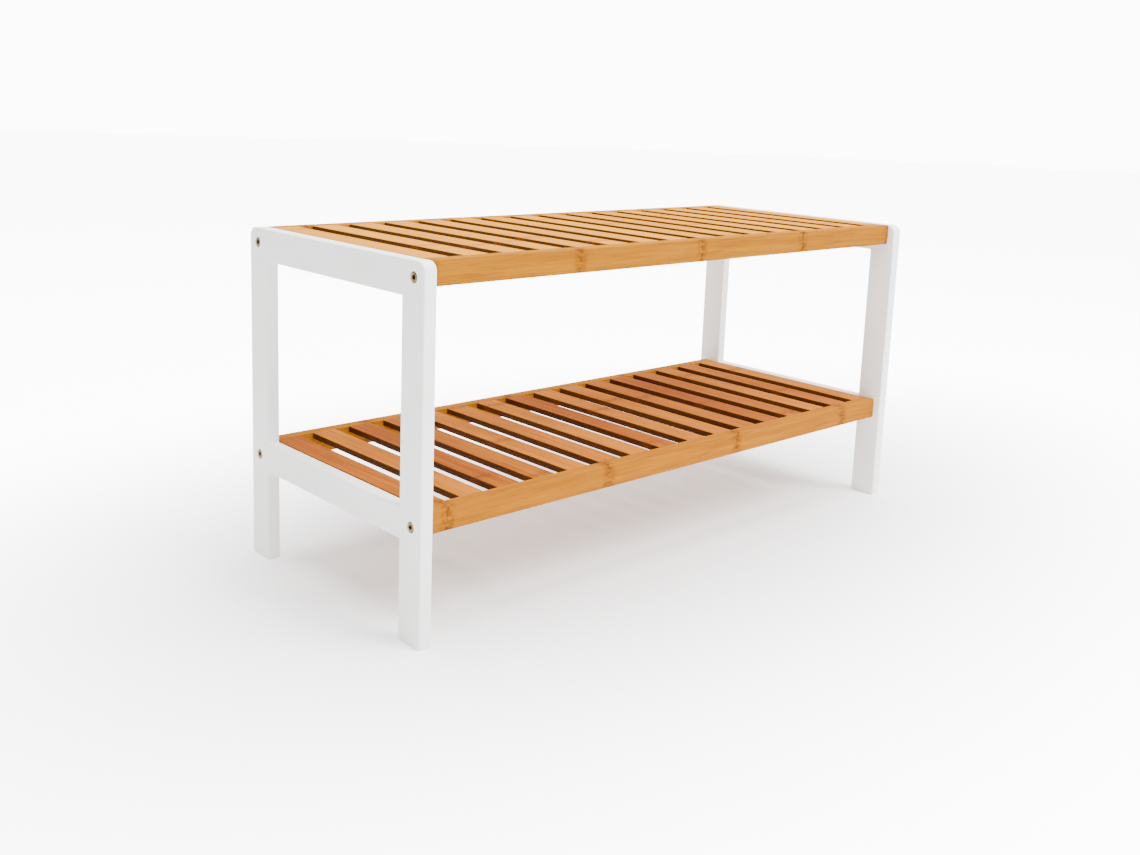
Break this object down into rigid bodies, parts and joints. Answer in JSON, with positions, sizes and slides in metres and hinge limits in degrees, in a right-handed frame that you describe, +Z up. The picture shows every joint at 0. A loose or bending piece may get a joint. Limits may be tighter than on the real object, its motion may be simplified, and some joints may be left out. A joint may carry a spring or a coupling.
{
  "type": "entryway bench",
  "caption": "Low two-tier entryway bench with painted side frames, a slatted bamboo seat and a slatted shelf for shoes below, bolted through the frames.",
  "frame": {"origin": "centre of the footprint, on the floor", "axes": "+X along the bench's length, +Y toward the rear (the front faces -Y), +Z up"},
  "size_m": [0.865, 0.36, 0.415],
  "materials": {
    "white_paint": "satin white paint over wood",
    "seat_bamboo": "clear-lacquered laminated bamboo, pale",
    "shelf_bamboo": "clear-lacquered laminated bamboo, warm brown",
    "rail_bamboo": "clear-lacquered laminated bamboo, honey",
    "antique_brass": "antiqued plating",
    "zinc_steel": "zinc plated"
  },
  "bodies": {
    "root": {"left_front_leg": "white_paint", "left_rear_leg": "white_paint", "left_top_rail": "white_paint", "left_lower_rail": "white_paint", "right_front_leg": "white_paint", "right_rear_leg": "white_paint", "right_top_rail": "white_paint", "right_lower_rail": "white_paint", "seat_front_rail": "rail_bamboo", "seat_rear_rail": "rail_bamboo", "shelf_front_rail": "rail_bamboo", "shelf_rear_rail": "rail_bamboo", "seat_slat_01": "seat_bamboo", "seat_slat_02": "seat_bamboo", "seat_slat_03": "seat_bamboo", "seat_slat_04": "seat_bamboo", "seat_slat_05": "seat_bamboo", "seat_slat_06": "seat_bamboo", "seat_slat_07": "seat_bamboo", "seat_slat_08": "seat_bamboo", "seat_slat_09": "seat_bamboo", "seat_slat_10": "seat_bamboo", "seat_slat_11": "seat_bamboo", "seat_slat_12": "seat_bamboo", "seat_slat_13": "seat_bamboo", "seat_slat_14": "seat_bamboo", "seat_slat_15": "seat_bamboo", "seat_slat_16": "seat_bamboo", "shelf_slat_01": "shelf_bamboo", "shelf_slat_02": "shelf_bamboo", "shelf_slat_03": "shelf_bamboo", "shelf_slat_04": "shelf_bamboo", "shelf_slat_05": "shelf_bamboo", "shelf_slat_06": "shelf_bamboo", "shelf_slat_07": "shelf_bamboo", "shelf_slat_08": "shelf_bamboo", "shelf_slat_09": "shelf_bamboo", "shelf_slat_10": "shelf_bamboo", "shelf_slat_11": "shelf_bamboo", "shelf_slat_12": "shelf_bamboo", "shelf_slat_13": "shelf_bamboo", "shelf_slat_14": "shelf_bamboo", "shelf_slat_15": "shelf_bamboo", "shelf_slat_16": "shelf_bamboo", "left_seat_front_bolt": "antique_brass", "left_seat_front_barrel_nut": "zinc_steel", "left_seat_rear_bolt": "antique_brass", "left_seat_rear_barrel_nut": "zinc_steel", "right_seat_front_bolt": "antique_brass", "right_seat_front_barrel_nut": "zinc_steel", "right_seat_rear_bolt": "antique_brass", "right_seat_rear_barrel_nut": "zinc_steel", "left_shelf_front_bolt": "antique_brass", "left_shelf_front_barrel_nut": "zinc_steel", "left_shelf_rear_bolt": "antique_brass", "left_shelf_rear_barrel_nut": "zinc_steel", "right_shelf_front_bolt": "antique_brass", "right_shelf_front_barrel_nut": "zinc_steel", "right_shelf_rear_bolt": "antique_brass", "right_shelf_rear_barrel_nut": "zinc_steel"}
  },
  "joints": []
}
